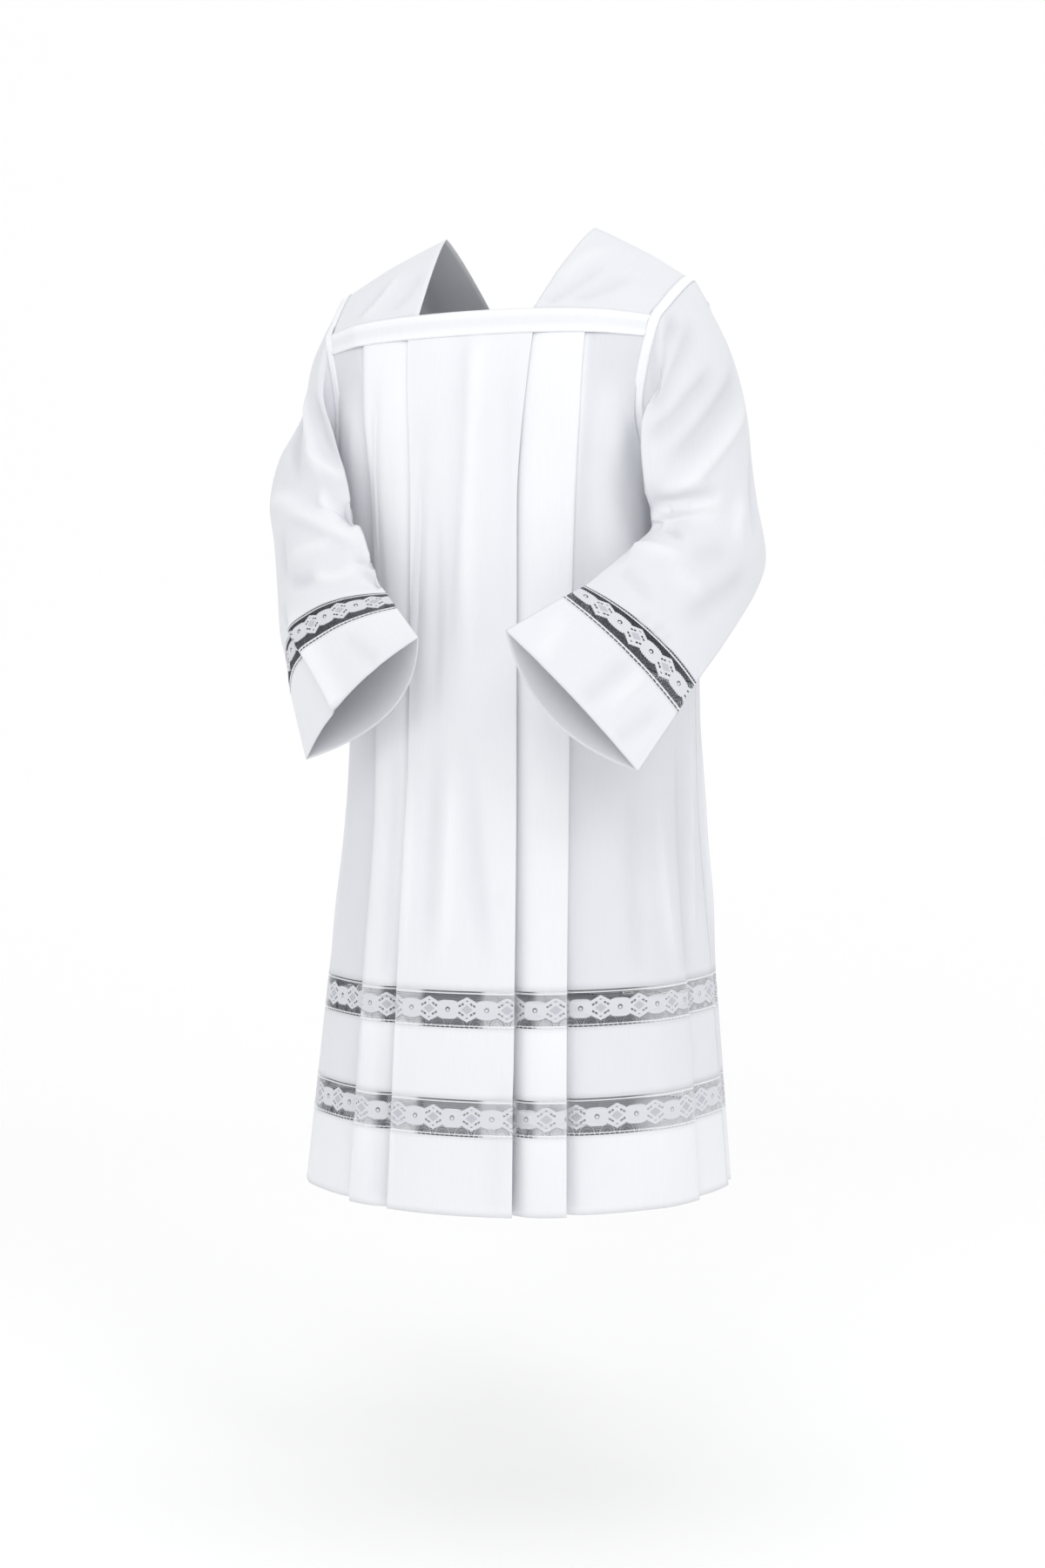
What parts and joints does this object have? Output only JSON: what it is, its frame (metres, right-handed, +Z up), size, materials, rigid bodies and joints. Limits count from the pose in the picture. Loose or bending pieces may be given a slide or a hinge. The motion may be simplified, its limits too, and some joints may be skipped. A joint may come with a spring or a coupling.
{
  "type": "surplice",
  "caption": "Hollow worn surplice with a square yoke, knife-pleated body, wide bent sleeves, plain hems and cuffs, and pierced lace insertions.",
  "frame": {"origin": "midway between the tops of the two shoulder ridges at the neck, where the wearer carries the garment", "axes": "+Z up, -Y towards the wearer's front, +X towards the wearer's left; metres"},
  "size_m": [0.6082, 0.5247, 1.1435],
  "materials": {
    "cloth": "matte woven white cloth",
    "lace": "matte white net lace"
  },
  "bodies": {
    "root": {"front_yoke_band": "cloth", "front_panel": "cloth", "front_lace_upper": "lace", "front_strip": "cloth", "front_lace_lower": "lace", "front_hem": "cloth", "back_yoke_band": "cloth", "back_panel": "cloth", "back_lace_upper": "lace", "back_strip": "cloth", "back_lace_lower": "lace", "back_hem": "cloth", "shoulder_yoke_left": "cloth", "armhole_strip_left": "cloth", "sleeve_left_front": "cloth", "sleeve_left_back": "cloth", "cuff_left": "cloth", "sleeve_lace_left_front": "lace", "sleeve_lace_left_back": "lace", "shoulder_yoke_right": "cloth", "armhole_strip_right": "cloth", "sleeve_right_front": "cloth", "sleeve_right_back": "cloth", "cuff_right": "cloth", "sleeve_lace_right_front": "lace", "sleeve_lace_right_back": "lace"}
  },
  "joints": []
}
